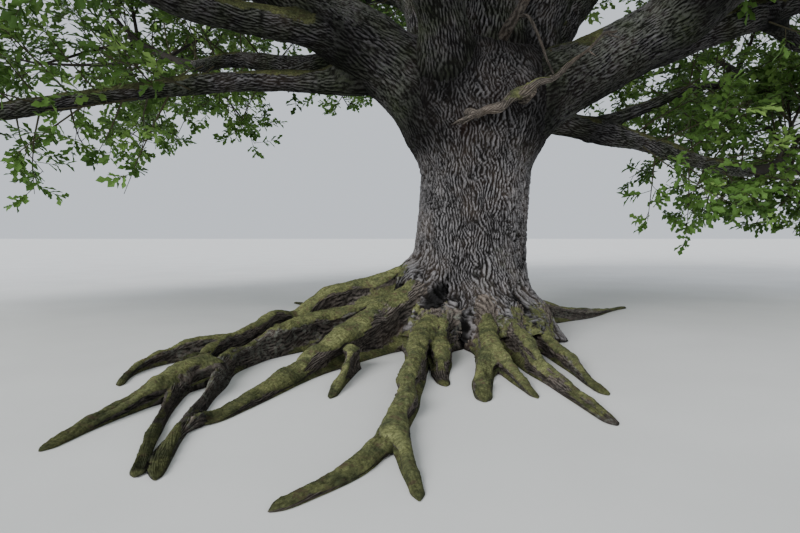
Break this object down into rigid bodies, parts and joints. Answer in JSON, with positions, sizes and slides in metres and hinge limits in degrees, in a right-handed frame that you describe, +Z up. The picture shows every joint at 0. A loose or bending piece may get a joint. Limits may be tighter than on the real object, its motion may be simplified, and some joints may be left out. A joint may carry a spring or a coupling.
{
  "type": "oak tree",
  "caption": "Spreading old oak with a thick ridged trunk, long roots running out over the ground, and wide boughs that each end in a mass of leafy twigs.",
  "frame": {"origin": "ground level at the foot of the trunk, under the middle of the flat cut", "axes": "+Z up; -Y towards the side seen in the picture; +X to that view's right"},
  "size_m": [22.4495, 21.5098, 17.5457],
  "materials": {
    "trunk_bark": "deeply ridged, rough and dry",
    "mossy_bark": "ridged bark with soft moss along the top",
    "bough_bark": "ridged, darker underneath, moss along the top",
    "dead_wood": "bare, pale and frayed",
    "leaf_green": "matt leaves",
    "leaf_green_mid": "matt leaves",
    "leaf_green_deep": "matt leaves",
    "leaf_green_bright": "matt leaves",
    "leaf_green_soft": "matt leaves"
  },
  "bodies": {
    "root": {"bough_back": "bough_bark", "bough_back_left": "bough_bark", "bough_back_right": "bough_bark", "bough_centre_right": "bough_bark", "bough_front": "bough_bark", "bough_front_right": "bough_bark", "bough_front_upright": "bough_bark", "bough_left_arching": "bough_bark", "bough_left_back": "bough_bark", "bough_left_front": "bough_bark", "bough_left_low": "bough_bark", "bough_left_rising": "bough_bark", "bough_left_upper": "bough_bark", "bough_right_drooping": "bough_bark", "bough_right_fork": "bough_bark", "bough_right_front": "bough_bark", "bough_right_low": "bough_bark", "bough_right_outer": "bough_bark", "bough_right_rising": "bough_bark", "dead_limb": "dead_wood", "leader": "bough_bark", "leader_back_left": "bough_bark", "leader_left": "bough_bark", "leaves_back": "leaf_green_soft", "leaves_back_left": "leaf_green_bright", "leaves_back_left_high": "leaf_green", "leaves_back_right_high": "leaf_green_deep", "leaves_front": "leaf_green_bright", "leaves_front_high": "leaf_green_soft", "leaves_front_right_high": "leaf_green_deep", "leaves_left_back": "leaf_green_bright", "leaves_left_back_high": "leaf_green_mid", "leaves_left_front": "leaf_green_soft", "leaves_left_high": "leaf_green", "leaves_left_low": "leaf_green_mid", "leaves_left_middle": "leaf_green_deep", "leaves_right_back": "leaf_green_bright", "leaves_right_far": "leaf_green_mid", "leaves_right_front": "leaf_green", "leaves_right_high": "leaf_green_soft", "leaves_right_low": "leaf_green_deep", "leaves_right_middle": "leaf_green", "leaves_top": "leaf_green", "leaves_top_left": "leaf_green_mid", "leaves_top_right": "leaf_green_mid", "root_back": "mossy_bark", "root_back_left": "mossy_bark", "root_back_right": "mossy_bark", "root_front_long": "mossy_bark", "root_front_right": "mossy_bark", "root_front_short": "mossy_bark", "root_left_far": "mossy_bark", "root_left_long": "mossy_bark", "root_left_main": "mossy_bark", "root_left_ridge": "mossy_bark", "root_left_twin": "mossy_bark", "root_right_back": "mossy_bark", "root_right_main": "mossy_bark", "trunk": "trunk_bark"}
  },
  "joints": []
}
